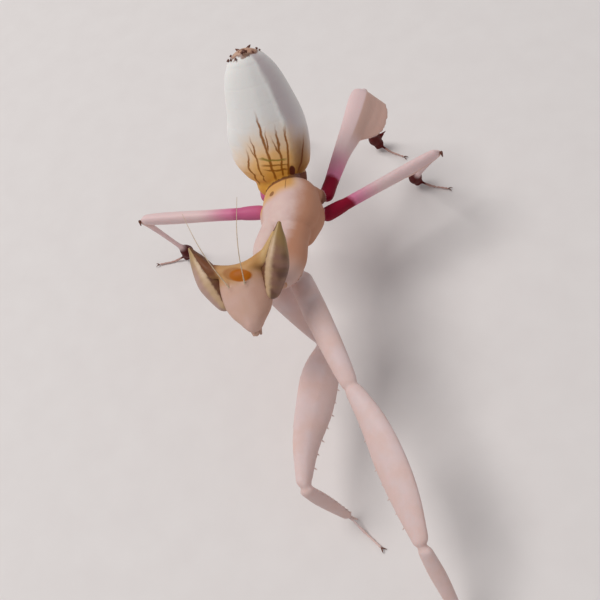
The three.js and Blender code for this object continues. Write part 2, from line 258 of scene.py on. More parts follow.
# %% Trunk rows
BELLY = Vector((0, 0, -1))
THORAX_ROWS = [
    (0, 1.15, 0.95, 0.9),
    (0.3, 1.55, 1.12, 1.25),
    (0.62, 1.6, 1.12, 1.3),
    (1, 1.2, 0.9, 0.95),
]
PRONOTUM_ROWS = [
    (0, 1.1, 0.85, 0.9),
    (0.3, 1.12, 0.82, 0.9),
    (0.65, 1.32, 0.82, 0.95),
    (1, 1.0, 0.65, 0.75),
]
ABDOMEN_ROWS = [
    (0, 1.45, 0.85, 0.8),
    (0.2, 1.96, 1.35, 1.35),
    (0.42, 2.1, 1.6, 1.55),
    (0.62, 1.85, 1.45, 1.4),
    (0.84, 1.38, 1.0, 1.0),
    (1, 0.64, 0.52, 0.52),
]
WAIST_ROWS = [(0, 1.28, 0.7, 0.7), (0.5, 1.46, 0.88, 0.85), (1, 1.9, 1.15, 1.1)]
print("abdomen, width at its widest:", 2 * max(row[1] for row in ABDOMEN_ROWS))

# %% Thorax, pronotum and abdomen
ABDOMEN_BELOW = Vector((-0.28, 1, 0.1))
ABDOMEN_BOW = Vector((-0.08, 0.35, 0))
WAIST_REACH = 0.12  # share of the abdomen that the waist covers on each side of its root
WAIST_SHIFT = Vector((-0.2, 0, 0))

flesh("thorax", "trunk", WAIST, THORAX_JOINT, BELLY, THORAX_ROWS, steps=16, ring_cuts=9,
      roundness=0.92)
flesh("pronotum", "trunk", THORAX_JOINT.lerp(NECK, -0.3), NECK, BELLY, PRONOTUM_ROWS, steps=18,
      ring_cuts=9, stretch=(0.8, 2.0), roundness=0.9)
flesh("abdomen", "abdomen", ABDOMEN_ROOT, ABDOMEN_TIP, ABDOMEN_BELOW, ABDOMEN_ROWS, steps=30,
      ring_cuts=13, roundness=0.9, bow=ABDOMEN_BOW)
flesh("waist", "abdomen", ABDOMEN_ROOT.lerp(ABDOMEN_TIP, -WAIST_REACH) + WAIST_SHIFT,
      ABDOMEN_ROOT.lerp(ABDOMEN_TIP, WAIST_REACH) + ABDOMEN_BOW * 0.35, ABDOMEN_BELOW, WAIST_ROWS,
      steps=8, ring_cuts=9, stretch=(-WAIST_REACH, WAIST_REACH))
print("main pieces of the trunk:", len(flesh_pieces))

# %% Keel and right swell
KEEL_ANGLE = math.radians(36)
KEEL_RISE = 1.05
KEEL_SPAN = (0.02, 0.98)
SWELL_END = 0.8
SWELL_FOLLOWS = 0.59  # how much of the abdomen's bow the end of the swell follows
SWELL_BOW = Vector((-0.29, 0.22, 0))
SWELL_ROWS = [
    (0, 1.4, 0.8, 0.78),
    (0.25, 2.08, 1.28, 1.28),
    (0.4, 2.13, 1.42, 1.4),
    (0.6, 1.94, 1.45, 1.4),
    (0.8, 1.42, 1.1, 1.05),
    (1, 0.3, 0.3, 0.3),
]


def reach_at(row, angle):
    """How far an oval section reaches at an angle from its top."""
    _, half, high, deep = row
    return 1 / math.hypot(math.sin(angle) / half, math.cos(angle) / ((high + deep) / 2))


def keel_row(row):
    """The section of the keel: narrow, and just proud of the oval."""
    return (row[0], row[1] * 0.42, reach_at(row, KEEL_ANGLE) * KEEL_RISE, 0.2)


to_keel = Matrix.Rotation(KEEL_ANGLE, 3, (ABDOMEN_TIP - ABDOMEN_ROOT).normalized())
keel_below = min((to_keel @ ABDOMEN_BELOW, to_keel.transposed() @ ABDOMEN_BELOW),
                 key=lambda way: way.x)
keel_start, keel_end = (ABDOMEN_ROOT.lerp(ABDOMEN_TIP, share) for share in KEEL_SPAN)
flesh("keel", None, keel_start, keel_end, keel_below, [keel_row(row) for row in ABDOMEN_ROWS],
      steps=30, ring_cuts=3, roundness=0.1, bow=ABDOMEN_BOW)
swell_end = ABDOMEN_ROOT.lerp(ABDOMEN_TIP, SWELL_END) + ABDOMEN_BOW * SWELL_FOLLOWS
flesh("right_swell", None, ABDOMEN_ROOT, swell_end, ABDOMEN_BELOW, SWELL_ROWS, steps=24,
      ring_cuts=13, roundness=0.9, bow=SWELL_BOW)
print("keel leans", round(math.degrees(KEEL_ANGLE)), "degrees from the back")

# %% Shoulders, flanks and collar
SIDES = {"left": 1, "right": -1}
FLANKS = {
    "left": [(1.15, 1.9, 7.55), (0.9, -1.45, 7.85)],
    "right": [(-0.75, 2.0, 7.6), (-0.75, -0.9, 7.7)],
}
FLANK_ROWS = [even(0, 0.45), even(0.4, 0.95), even(0.72, 0.76), even(1, 0.46)]
SHOULDER_ROWS = [even(0, 0.8), even(1, 0.42)]
COLLAR_ROWS = [even(0, 0.75), even(0.4, 0.8), even(0.75, 0.78), even(1, 0.55)]
MID_THORAX = (0.5, 0.5)  # the stretch of the pattern that shoulders and flanks carry

for side, sign in SIDES.items():
    for pair in ("hind", "mid", "fore"):
        hip = LEG_JOINTS[f"{pair}_{side}"][0]
        inside = Vector((hip.x * 0.3, hip.y, hip.z + 0.9))
        flesh(f"{pair}_{side}_shoulder", "trunk", inside, hip, BELLY, SHOULDER_ROWS, steps=6,
              stretch=MID_THORAX, flank=sign)
for side, sign in SIDES.items():
    rear, front = (Vector(place) for place in FLANKS[side])
    flesh(f"{side}_flank", "trunk", rear, front, BELLY, FLANK_ROWS, stretch=MID_THORAX, flank=sign)
flesh("collar", "trunk", Vector((-0.35, 0.6, 8.0)), Vector((-0.7, -3.3, 9.1)), BELLY, COLLAR_ROWS,
      steps=16, stretch=(0.6, 1.6))
print("trunk pieces:", len(flesh_pieces))

# %% [markdown]
# ## The head
# The head is a triangle that hangs from a saddle between two tall eyes. It has its own directions,
# left, up and out of the face, so that every place on it is written as the animal would feel it.

# %% Head directions
HEAD_TURN = math.radians(-10)
HEAD_TILT = math.radians(49)
HEAD_ROLL = math.radians(20.5)

face_out = Vector((
    math.sin(HEAD_TURN) * math.cos(HEAD_TILT),
    -math.cos(HEAD_TURN) * math.cos(HEAD_TILT),
    math.sin(HEAD_TILT),
))
head_level = Vector((math.cos(HEAD_TURN), math.sin(HEAD_TURN), 0))
head_roll = Matrix.Rotation(HEAD_ROLL, 3, face_out)
head_left = head_roll @ head_level
head_up = head_roll @ face_out.cross(head_level)
print("the face looks along", [round(c, 2) for c in face_out])


def on_head(left, up, out):
    return HEAD_CENTRE + head_left * left + head_up * up + face_out * out


# %% Head flesh
BACK_OF_HEAD = -face_out
FACE_ROWS = [
    (0, 0.8, 0.35, 0.75),
    (0.17, 1.25, 0.5, 1.0),
    (0.45, 1.4, 0.55, 1.05),
    (0.7, 1.1, 0.5, 0.85),
    (0.88, 0.55, 0.42, 0.6),
    (1, 0.3, 0.3, 0.32),
]
SADDLE_ROWS = [even(0, 0.3), (0.5, 0.42, 0.42, 0.5), even(1, 0.3)]
BROW_ROWS = [even(0, 0.4), even(0.5, 0.27), even(1, 0.1)]
CHEEK_ROWS = [even(0, 0.34), even(0.5, 0.24), even(1, 0.12)]
NECK_ROWS = [even(0, 0.62), even(1, 0.62)]
SOCKET_ROWS = [even(0, 0.15), even(1, 0.11)]
UPPER_LIP_ROWS = [(0, 0.5, 0.42, 0.3), (0.6, 0.4, 0.34, 0.3), (1, 0.24, 0.2, 0.2)]

flesh("face", "head", on_head(0, 0, 0), on_head(0, -3.4, 0), BACK_OF_HEAD, FACE_ROWS, steps=24,
      ring_cuts=9, roundness=0.86)
flesh("saddle", "head", on_head(-1.55, 0.2, -0.15), on_head(1.55, 0.2, -0.15), BACK_OF_HEAD,
      SADDLE_ROWS, steps=16, ring_cuts=5, bow=head_up * -0.52)
flesh("neck", "head", NECK.lerp(on_head(0, -1.3, -1.0), -0.3), on_head(0, -1.3, -0.8),
      Vector((0, 1, 0)), NECK_ROWS, steps=5)
for sign in (-1, 1):
    flesh("brow", "head", on_head(sign * 1.12, -0.3, -0.1), on_head(sign * 2.28, 1.15, -0.45),
          BACK_OF_HEAD, BROW_ROWS, steps=12, bow=head_up * -0.12)
    flesh("cheek", "head", on_head(sign * 1.0, -1.4, -0.05), on_head(sign * 0.32, -3.1, 0.1),
          BACK_OF_HEAD, CHEEK_ROWS, steps=8)
    flesh("feeler_socket", "head", on_head(sign * 0.4, -0.95, 0.3),
          on_head(sign * 0.44, -0.9, 0.58), BACK_OF_HEAD, SOCKET_ROWS, steps=4)
flesh("upper_lip", "head", on_head(0, -2.5, 0.12), on_head(0, -3.3, 0.12), BACK_OF_HEAD,
      UPPER_LIP_ROWS, steps=8, roundness=0.6)
print("flesh pieces with the head:", len(flesh_pieces))

# %% [markdown]
# ## Walking legs
# Each walking leg leaves a short coxa, runs along a slender femur with a petal lobe under its outer
# half, and comes down a thin tibia to a foot of five small joints that lie along the ground. The
# coxa and the femur lie on one line and overlap, so no notch shows between them. A dark heel and a
# short spur stand at the ankle.

# %% Walking leg rows
COXA_SHARE = 0.16  # the joint of coxa and femur, as a share of hip to knee
COXA_END, FEMUR_START = 0.23, 0.09  # each runs past that joint
COXA_ROWS = [even(0, 0.42), even(0.5, 0.42), even(1, 0.36)]
HIND_FEMUR_ROWS = [
    (0, 0.38, 0.4, 0.42),
    (0.35, 0.38, 0.52, 0.56),
    (0.6, 0.42, 0.6, 0.9),
    (0.88, 0.42, 0.72, 1.0),
    (1, 0.34, 0.58, 0.8),
]
MID_FEMUR_ROWS = [
    (0, 0.38, 0.4, 0.42),
    (0.35, 0.36, 0.44, 0.46),
    (0.65, 0.38, 0.48, 0.52),
    (0.88, 0.36, 0.48, 0.5),
    (1, 0.28, 0.38, 0.38),
]
HIND_PETAL = [(0, 0.4), (0.2, 1.3), (0.42, 1.92), (0.8, 2.0), (1, 1.6)]
MID_PETAL = [(0, 0.3), (0.3, 0.8), (0.6, 0.95), (1, 0.4)]
TIBIA_ROWS = [even(0, 0.27), even(0.12, 0.2), even(0.5, 0.16), even(0.8, 0.2), even(0.9, 0.42),
              even(1, 0.48)]
HEEL_ROWS = [even(0, 0.46), even(1, 0.3)]
SPUR_ROWS = [even(0, 0.26), even(0.5, 0.15), even(1, 0.05)]
print("petal depth at its deepest:", max(reach for share, reach in HIND_PETAL))

# %% Petal lobes and feet
PETAL_LAYERS = [(1.0, 0.11), (0.78, 0.19), (0.55, 0.28)]  # share of the reach, half thickness
FOOT_RADIUS = 0.11
FOOT_HEIGHT = 0.12
FOOT_KNOTS = (0.28, 0.52, 0.74, 1.0)


def petal_lobe(name, root, knee, below, span, petal):
    """A half-round flap along the underside, built of layers that thin out towards its rim."""
    start, end = (root.lerp(knee, share) for share in span)
    for number, (part, half) in enumerate(PETAL_LAYERS):
        rows = [(share, half, 0.2, reach * part) for share, reach in petal]
        flesh(f"{name}_{number}", "leg", start, end, below, rows, stretch=span, steps=20,
              ring_cuts=7)


def on_ground(ankle, toe, share):
    return Vector((*ankle.lerp(toe, share).xy, FOOT_HEIGHT))


def level_way(start, end):
    return Vector((end.x - start.x, end.y - start.y, 0)).normalized()


def foot(name, ankle, toe, region, begin):
    """Five small joints: a long first one that comes down, and four along the ground."""
    landing, tip = on_ground(ankle, toe, 0.5), on_ground(ankle, toe, 0.97)
    knots = [ankle, landing] + [landing.lerp(tip, share) for share in FOOT_KNOTS]
    rows = [even(0, FOOT_RADIUS * 0.8), even(0.7, FOOT_RADIUS * 0.85), even(1, FOOT_RADIUS)]
    for i, (a, b) in enumerate(zip(knots, knots[1:])):
        stretch = (begin + i / 5, begin + (i + 1) / 5)
        flesh(f"{name}_foot_{i}", region, a, b, BELLY, rows, stretch=stretch, steps=4, ring_cuts=2)


print("foot joints:", len(FOOT_KNOTS) + 1)

# %% Walking legs
WINE_SHARE = 0.11  # where the pattern changes from wine red to pink
SHIN_BELOW = Vector((0, -1, 0.2))
HEEL_LENGTH = 0.55
HEEL_DROP = Vector((0, -0.1, -0.05))
SPUR_FOOT = Vector((0, 0, 0.05))
SPUR_LENGTH = 0.95
SPUR_LIFT = Vector((0, 0.5, 1.0))
DARKEST = (1.97, 1.97)  # the stretch of the pattern that heel and spur carry


def walking_leg(name, femur_rows, span, petal, wine_end):
    """One leg from hip to foot; wine_end is the share of hip to knee where the red ends."""
    hip, knee, ankle, toe = LEG_JOINTS[name]
    below = LOBE_BELOW[name]
    shift = WINE_SHARE - wine_end
    flesh(f"{name}_coxa", "leg", hip, hip.lerp(knee, COXA_END), below, COXA_ROWS,
          stretch=(shift, shift + COXA_END), steps=8)
    flesh(f"{name}_femur", "leg", hip.lerp(knee, FEMUR_START), knee, below, femur_rows, steps=20,
          ring_cuts=7, roundness=0.72, stretch=(shift + FEMUR_START, shift + 1.0))
    petal_lobe(f"{name}_lobe", hip.lerp(knee, COXA_SHARE), knee, below, span, petal)
    flesh(f"{name}_tibia", "leg", knee, ankle, SHIN_BELOW, TIBIA_ROWS, stretch=(1.0, 2.0),
          steps=18, ring_cuts=3)
    outward = level_way(ankle, toe)
    flesh(f"{name}_heel", "leg", ankle, ankle + outward * HEEL_LENGTH + HEEL_DROP, BELLY,
          HEEL_ROWS, stretch=DARKEST, steps=4)
    spur_root = ankle + SPUR_FOOT
    flesh(f"{name}_spur", "leg", spur_root, spur_root + outward * SPUR_LENGTH + SPUR_LIFT, BELLY,
          SPUR_ROWS, stretch=DARKEST, steps=5)
    foot(name, ankle, toe, "leg", 2.0)


for side in SIDES:
    walking_leg(f"hind_{side}", HIND_FEMUR_ROWS, (0.46, 1.0), HIND_PETAL, wine_end=0.2)
    walking_leg(f"mid_{side}", MID_FEMUR_ROWS, (0.5, 0.98), MID_PETAL, wine_end=0.25)
print("flesh pieces so far:", len(flesh_pieces))

# %% [markdown]
# ## Forelegs
# The grasping legs are stretched out: a long coxa, a broad flat femur and a shorter tibia that ends
# in a hooked claw beside its foot. The two femurs are turned differently, so each has its own rows.

# %% Forelegs
FORE_COXA_ROWS = [
    (0, 0.5, 0.7, 0.7),
    (0.35, 0.56, 0.74, 0.74),
    (0.8, 0.46, 0.62, 0.6),
    (1, 0.36, 0.45, 0.44),
]
FORE_FEMUR_ROWS = {
    "fore_left": [
        (0, 0.38, 0.48, 0.44),
        (0.25, 0.45, 1.08, 0.46),
        (0.5, 0.48, 1.24, 0.64),
        (0.74, 0.42, 1.04, 0.62),
        (1, 0.3, 0.4, 0.4),
    ],
    "fore_right": [
        (0, 0.38, 0.55, 0.55),
        (0.25, 0.45, 1.26, 0.85),
        (0.5, 0.48, 1.27, 0.8),
        (0.74, 0.42, 1.04, 0.42),
        (1, 0.3, 0.42, 0.32),
    ],
}
FORE_TIBIA_ROWS = [(0, 0.28, 0.38, 0.36), (0.4, 0.3, 0.5, 0.46), (1, 0.2, 0.3, 0.28)]
ELBOW_OVERLAP = -0.03


def foreleg(name):
    hip, elbow, knee, wrist, toe = LEG_JOINTS[name]
    below = LOBE_BELOW[name]
    flesh(f"{name}_coxa", "foreleg", hip, elbow, below, FORE_COXA_ROWS, steps=16, ring_cuts=7,
          roundness=0.85)
    flesh(f"{name}_femur", "foreleg", elbow.lerp(knee, ELBOW_OVERLAP), knee, below,
          FORE_FEMUR_ROWS[name], stretch=(1.0, 2.0), steps=22, ring_cuts=9, roundness=0.8)
    flesh(f"{name}_tibia", "foreleg", knee, wrist, below, FORE_TIBIA_ROWS, stretch=(2.0, 3.0),
          steps=14, ring_cuts=5, roundness=0.9)
    foot(name, wrist, toe, "foreleg", 3.0)


for side in SIDES:
    foreleg(f"fore_{side}")
print("flesh pieces in all:", len(flesh_pieces))

# %% [markdown]
# ## One skin
# The limbs now pass into each other. A voxel remesh wraps one even skin round all of them, with no
# seam inside, and a light smoothing takes away the steps that the voxels leave.

# %% Join and wrap
VOXEL = 0.082
SMOOTH_PASSES = 5


def apply_modifier(piece, kind, **settings):
    modifier = piece.modifiers.new(kind.lower(), kind)
    for setting, value in settings.items():
        setattr(modifier, setting, value)
    bpy.context.view_layer.objects.active = piece
    bpy.ops.object.modifier_apply(modifier=modifier.name)


def join_pieces(name, pieces):
    nothing_selected()
    for piece in pieces:
        piece.select_set(True)
    bpy.context.view_layer.objects.active = pieces[0]
    bpy.ops.object.join()
    joined = bpy.context.object
    joined.name = name
    return joined


skin = join_pieces("skin", flesh_pieces)
apply_modifier(skin, "REMESH", mode="VOXEL", voxel_size=VOXEL, use_smooth_shade=True)
apply_modifier(skin, "SMOOTH", factor=0.5, iterations=SMOOTH_PASSES)
print("skin faces:", len(skin.data.polygons))

# %% [markdown]
# ## A map on the skin
# Every point of the skin looks up the nearest limb and stores three things: its region, how far
# along the pattern it is, and how far round from the back. On the head these are how far up and how
# far left it is. A few distances, such as that from a hip, are stored too. The materials read
# these, so a stripe follows the body however it bends.

# %% Tools for the map
REGIONS = ["trunk", "abdomen", "head", "leg", "foreleg"]


def store(piece, name, values):
    layer = piece.data.attributes.new(name, "FLOAT", "POINT")
    layer.data.foreach_set("value", np.asarray(values, dtype=np.float32))


def points_of(piece):
    flat = np.empty(len(piece.data.vertices) * 3)
    piece.data.vertices.foreach_get("co", flat)
    return flat.reshape(-1, 3)


def place_on(note, points):
    """Share along a limb, angle round it from its back, and the depth outside its surface."""
    start, end = np.array(note["start"]), np.array(note["end"])
    turn = np.array(note["turn"])
    length = np.linalg.norm(end - start)
    local = (points - start) @ turn
    share = np.clip(local[:, 2] / length, 0, 1)
    bend = np.array(note["turn"].transposed() @ note["bow"])
    sway = np.sin(np.pi * share)[:, None] * bend[None, :2]
    shares = np.linspace(0, 1, 25)
    sizes = np.array([row_at(note["rows"], s) for s in shares])
    half, high, deep = (np.interp(share, shares, sizes[:, k]) for k in range(3))
    across, rise = local[:, 0] - sway[:, 0], local[:, 1] - sway[:, 1] - (high - deep) / 2
    tall = (high + deep) / 2
    end_gap = np.abs(local[:, 2] - share * length)
    unit = np.hypot(np.hypot(across / half, rise / tall), end_gap / np.minimum(half, tall))
    depth = (unit - 1) * np.minimum(half, tall)
    return share, np.arctan2(across, rise), depth


points = points_of(skin)
print("points on the skin:", len(points))

# %% Look up every point
FLANK_ANGLE = 1.5  # on a shoulder or flank every point counts as this far round, in radians
nearest = np.full(len(points), np.inf)
along = np.zeros(len(points))
around = np.zeros(len(points))
region = np.zeros(len(points), dtype=int)
for note in flesh_notes:
    share, angle, depth = place_on(note, points)
    if note["flank"]:
        angle = np.full(len(points), note["flank"] * FLANK_ANGLE)
    elif note["turn"].col[0].x < 0:
        angle = -angle
    low, high = note["stretch"]
    closer = depth < nearest
    nearest[closer] = depth[closer]
    along[closer] = (low + (high - low) * share)[closer]
    around[closer] = angle[closer]
    region[closer] = REGIONS.index(note["region"])
print("points by region:", {n: int((region == i).sum()) for i, n in enumerate(REGIONS)})


# %% Store the map
def distance_from(place):
    return np.linalg.norm(points - np.array(place), axis=1)


abdomen_note = next(note for note in flesh_notes if note["region"] == "abdomen")
store(skin, "from_abdomen", place_on(abdomen_note, points)[2])
store(skin, "from_hip", np.minimum(*(distance_from(LEG_JOINTS[f"hind_{side}"][0]) for side in SIDES)))
store(skin, "from_right_hip", distance_from(LEG_JOINTS["mid_right"][0]))
from_head = points - np.array(HEAD_CENTRE)
is_head = region == REGIONS.index("head")
along[is_head] = (from_head @ np.array(head_up))[is_head]
around[is_head] = (from_head @ np.array(head_left))[is_head]
store(skin, "out_of_face", from_head @ np.array(face_out))
store(skin, "along", along)
store(skin, "around", around)
for number, name in enumerate(REGIONS):
    store(skin, f"on_{name}", region == number)
print("stored:", [layer.name for layer in skin.data.attributes if layer.data_type == "FLOAT"])

# %% [markdown]
# ## Writing materials as sums
# A material is arithmetic on values that change over the surface. A small class wraps a socket, so
# the arithmetic reads as plain Python and adds its own nodes.

# %% Sums on sockets
def sign_for(operation, swapped=False):
    """What an arithmetic sign does between a value and a value or number: it adds a Math node."""
    def add_node(self, other):
        first, second = (other, self) if swapped else (self, other)
        return self.recipe.maths(operation, first, second)
    return add_node


class Value:
    def __init__(self, recipe, socket):
        self.recipe, self.socket = recipe, socket

    __add__ = __radd__ = sign_for("ADD")
    __sub__, __rsub__ = sign_for("SUBTRACT"), sign_for("SUBTRACT", swapped=True)
    __mul__ = __rmul__ = sign_for("MULTIPLY")
    __truediv__, __rtruediv__ = sign_for("DIVIDE"), sign_for("DIVIDE", swapped=True)
    __pow__ = sign_for("POWER")
    most = sign_for("MAXIMUM")

    def __abs__(self):
        return self.recipe.maths("ABSOLUTE", self)


print("signs that add a node: + - * / ** and abs")


# %% The recipe
MIX_UNDER, MIX_OVER, MIX_RESULT = 6, 7, 2  # a Mix node's sockets for colours


class Recipe:
    """One material: its node tree, and the few kinds of node that the recipes use."""

    def __init__(self, name):
        self.material = bpy.data.materials.new(name)
        self.material.use_nodes = True
        self.tree = self.material.node_tree
        self.shader = self.tree.nodes["Principled BSDF"]

    def node(self, kind, settings=None, sockets=None):
        made = self.tree.nodes.new(kind)
        for setting, value in (settings or {}).items():
            setattr(made, setting, value)
        for socket, value in (sockets or {}).items():
            self.plug(made.inputs[socket], value)
        return made

    def plug(self, socket, value):
        if isinstance(value, Value):
            self.tree.links.new(value.socket, socket)
        elif value is not None:
            socket.default_value = value

    def maths(self, operation, first, second=None):
        made = self.node("ShaderNodeMath", {"operation": operation}, {0: first, 1: second})
        return Value(self, made.outputs[0])

    def attribute(self, name):
        made = self.node("ShaderNodeAttribute", {"attribute_name": name})
        return Value(self, made.outputs["Fac"])

    def object_place(self):
        return Value(self, self.node("ShaderNodeTexCoord").outputs["Object"])

    def stretched(self, squeeze):
        """Object coordinates squeezed along the height, so that patterns run up and down."""
        made = self.node("ShaderNodeMapping", {}, {
            "Vector": self.object_place(), "Scale": (1, 1, squeeze)})
        return Value(self, made.outputs["Vector"])

    def noise(self, size_mm, detail=3.0, place=None):
        made = self.node("ShaderNodeTexNoise", {}, {
            "Vector": place or self.object_place(), "Detail": detail,
            "Scale": 1 / (size_mm * BENCH_TO_METRES)})
        return Value(self, made.outputs["Fac"])

    def rise(self, value, low, high):
        """0 below low, 1 above high, smooth between; low may be above high."""
        made = self.node("ShaderNodeMapRange", {"interpolation_type": "SMOOTHSTEP"}, {
            "Value": value, "From Min": low, "From Max": high})
        return Value(self, made.outputs["Result"])

    def band(self, value, width):
        """1 where value is 0, falling smoothly to 0 at a distance of width."""
        return self.rise(abs(value), width, width * 0.3)

    def patch(self, value, middle, half, other, other_middle, other_half):
        """1 inside an oval of two values, with a soft rim."""
        spread = ((value - middle) / half) ** 2 + ((other - other_middle) / other_half) ** 2
        return self.rise(spread, 1.25, 0.7)

    def mix(self, under, over, share):
        made = self.node("ShaderNodeMix", {"data_type": "RGBA"}, {
            "Factor": share, MIX_UNDER: under, MIX_OVER: over})
        return Value(self, made.outputs[MIX_RESULT])

    def layers(self, ground, *coats):
        """The ground with coats laid over it in turn; each coat is a colour and its share."""
        for over, share in coats:
            ground = self.mix(ground, over, share)
        return ground

    def bump(self, height, depth_mm, strength):
        made = self.node("ShaderNodeBump", {}, {
            "Height": height, "Distance": depth_mm * BENCH_TO_METRES, "Strength": strength})
        return Value(self, made.outputs["Normal"])

    def finish(self, **sockets):
        for socket, value in sockets.items():
            self.plug(self.shader.inputs[socket.replace("_", " ")], value)
        return self.material


def paint(red, green, blue):
    """A colour given as screen values from 0 to 255, as light values for the shader."""
    shares = [c / 255 for c in (red, green, blue)]
    return (*(((c + 0.055) / 1.055) ** 2.4 if c > 0.04 else c / 12.92 for c in shares), 1.0)


print("paint white is", paint(255, 255, 255))

# %% [markdown]
# ## The living skin
# The ground is a warm cream with a breath of pink. On the abdomen a yellow wash fades out from the
# waist and brown veins fan through it; the side turned from the light is painted grey-lilac as
# painted shade, and its right edge is maroon, painted shade near the root. The legs start wine red,
# turn pink and end cream, but the right middle one starts a paler plum, which is painted light.
# Painted shade also darkens the tan thorax and the head on the side turned from the light, the brow
# inside the right eye and the undersides of the petal lobes, and painted light makes the brow inside
# the left eye cream. All of it is painted through the map on the skin, one coat over another.

# %% Colours of the trunk and the abdomen
CREAM = paint(222, 196, 188)
SHELL_PINK = paint(212, 180, 176)
BODY_TAN_AND_SHADE = paint(188, 130, 98)
BUD_WHITE = paint(238, 236, 233)
BUD_PAINTED_SHADE = paint(172, 150, 156)
WASH_YELLOW = paint(252, 202, 132)
BASE_YELLOW = paint(236, 174, 66)
BASE_TAN = paint(214, 164, 100)
VEIN_BROWN = paint(150, 88, 10)
PLEAT_GREEN = paint(146, 128, 50)
MAROON = paint(92, 34, 12)
TIP_ORANGE = paint(186, 134, 98)
TIP_BROWN = paint(120, 66, 38)
print("cream as light:", [round(c, 3) for c in CREAM])

# %% Veins of the abdomen
# Angle at the root and at the tip and bow between, in degrees; root and tip share; width.
FRONT_VEINS = [
    (-48, -34, 8, 0.09, 0.46, 0.036),
    (-38, -46, 0, 0.27, 0.40, 0.026),
    (-74, -50, 4, 0.04, 0.37, 0.034),
    (-15, -11, 4, 0.09, 0.62, 0.052),
    (-9, 0, 0, 0.34, 0.50, 0.028),
    (9, 18, -3, 0.10, 0.50, 0.040),
    (12, 5, 0, 0.28, 0.43, 0.026),
    (24, 35, -5, 0.10, 0.48, 0.044),
    (50, 68, 0, 0.10, 0.33, 0.040),
]
BACK_VEINS = [(angle, angle + 6, 0, 0.06, 0.30 + 0.08 * (angle % 50 == 0), 0.032)
              for angle in range(100, 180, 25)]
BACK_VEINS += [(-root, -tip, bow, *rest) for root, tip, bow, *rest in BACK_VEINS]
PLEATS = [(0.25, PLEAT_GREEN), (0.205, VEIN_BROWN), (0.16, VEIN_BROWN)]


def vein_mask(recipe, along, around):
    """Brown lines that fan from the waist, each fading at its outer end."""
    mask = None
    for root, tip, bow, start, end, width in FRONT_VEINS + BACK_VEINS:
        share = (along - start) / (end - start)
        line = share * math.radians(tip - root + bow) + math.radians(root)
        line = line - share * share * math.radians(bow)
        taper = width * 1.75 - share * (width * 0.7)
        line_mask = recipe.rise(abs(around - line), taper, taper * 0.3)
        line_mask = line_mask * recipe.rise(along, end + 0.02, end - 0.1)
        line_mask = line_mask * recipe.rise(along, start - 0.03, start + 0.02)
        mask = line_mask if mask is None else mask.most(line_mask)
    return mask


print("veins:", len(FRONT_VEINS), "in front,", len(BACK_VEINS), "behind")


# %% Painting the abdomen
def abdomen_colour(recipe, along, around, mottle):
    place = along + (recipe.noise(0.7, 2.0) - 0.5) * 0.06
    angle = around + (recipe.noise(0.8, 3.0) - 0.5) * 0.22
    front = recipe.rise(abs(around + 0.15), 1.9, 1.0)
    crease = recipe.noise(0.5, 3.0, recipe.stretched(0.3))
    # painted shade: past the keel, on the side turned from the light, the white is painted grey-lilac
    painted_shade = recipe.rise(around + (crease - 0.5) * 0.3, 0.52, 0.8)
    fade = place + (around + 0.05) ** 2 * 0.1 + recipe.noise(0.7, 2.0) * 0.1
    gold = recipe.rise(place + abs(around) * 0.1 + mottle * 0.06, 0.4, 0.16)
    right_edge_shade = recipe.rise(angle, 0.34, 1.0) * recipe.rise(place, 0.44, 0.22)
    ragged = place + (recipe.noise(0.25, 3.0) - 0.5) * 0.06
    blots = recipe.rise(recipe.noise(0.3, 3.0), 0.55, 0.65) * recipe.rise(ragged, 0.975, 0.99)
    middle = recipe.rise(abs(around + 0.08), 0.62, 0.3)
    pleats = [(shade, recipe.band(place - share + around * 0.05, 0.012) * middle * 0.85)
              for share, shade in PLEATS]
    return recipe.layers(
        BUD_WHITE,
        (BUD_PAINTED_SHADE, painted_shade * front * 0.6),
        (WASH_YELLOW, recipe.rise(fade, 0.64, 0.28) * (front * 0.35 + 0.6)),
        (BASE_YELLOW, gold * (front * 0.5 + 0.4)),
        (VEIN_BROWN, recipe.rise(place - crease * 0.1, 0.2, 0.06) * 0.22),
        (VEIN_BROWN, vein_mask(recipe, place, angle) * 0.92),
        *pleats,
        # painted shade: the maroon patch and the maroon along the right edge near the root darken the
        # side in shadow
        (MAROON, recipe.patch(place, 0.12, 0.05, angle, 0.58, 0.13)),
        (MAROON, right_edge_shade * front * 0.78),
        (TIP_ORANGE, recipe.rise(ragged, 0.965, 0.985) * 0.8),
        (TIP_BROWN, recipe.band(ragged - 0.972, 0.014).most(blots) * 0.7),
    )


# %% Painting the trunk
def trunk_colour(recipe, along, around, mottle):
    gap = recipe.attribute("from_abdomen") + (recipe.noise(0.5, 3.0) - 0.5) * 0.12
    # tan flanks on both sides, made darker on the side turned from the light as painted shade
    side = recipe.rise(around + along * 0.3 + (mottle - 0.5) * 0.2, 0.3, 1.1) * 0.9
    side = side.most(recipe.rise(around, -1.2, -1.9) * 0.6)
    band = recipe.rise(gap, 1.3, 0.55) * recipe.rise(around, 0.75, 0.1)
    left_corner = recipe.rise(around, -0.25, -0.75) * recipe.rise(gap, 1.45, 0.8)
    dot = recipe.patch(gap, 0.85, 0.16, around, -0.72, 0.12)
    midline = recipe.band(around + 0.05, 0.035) * recipe.rise(gap, 1.0, 0.7)
    hip = recipe.rise(recipe.attribute("from_hip"), 0.72, 0.5)
    arc = recipe.rise(gap, 0.22, 0.08).most(midline * 0.7).most(dot * 0.8).most(hip * 0.8)
    return recipe.layers(
        CREAM,
        (SHELL_PINK, mottle * 0.6),
        (BODY_TAN_AND_SHADE, side * recipe.rise(along, 2.1, 1.5)),
        (BASE_TAN, band),
        (BASE_TAN, left_corner * 0.8),
        (MAROON, arc * 0.8),
    )


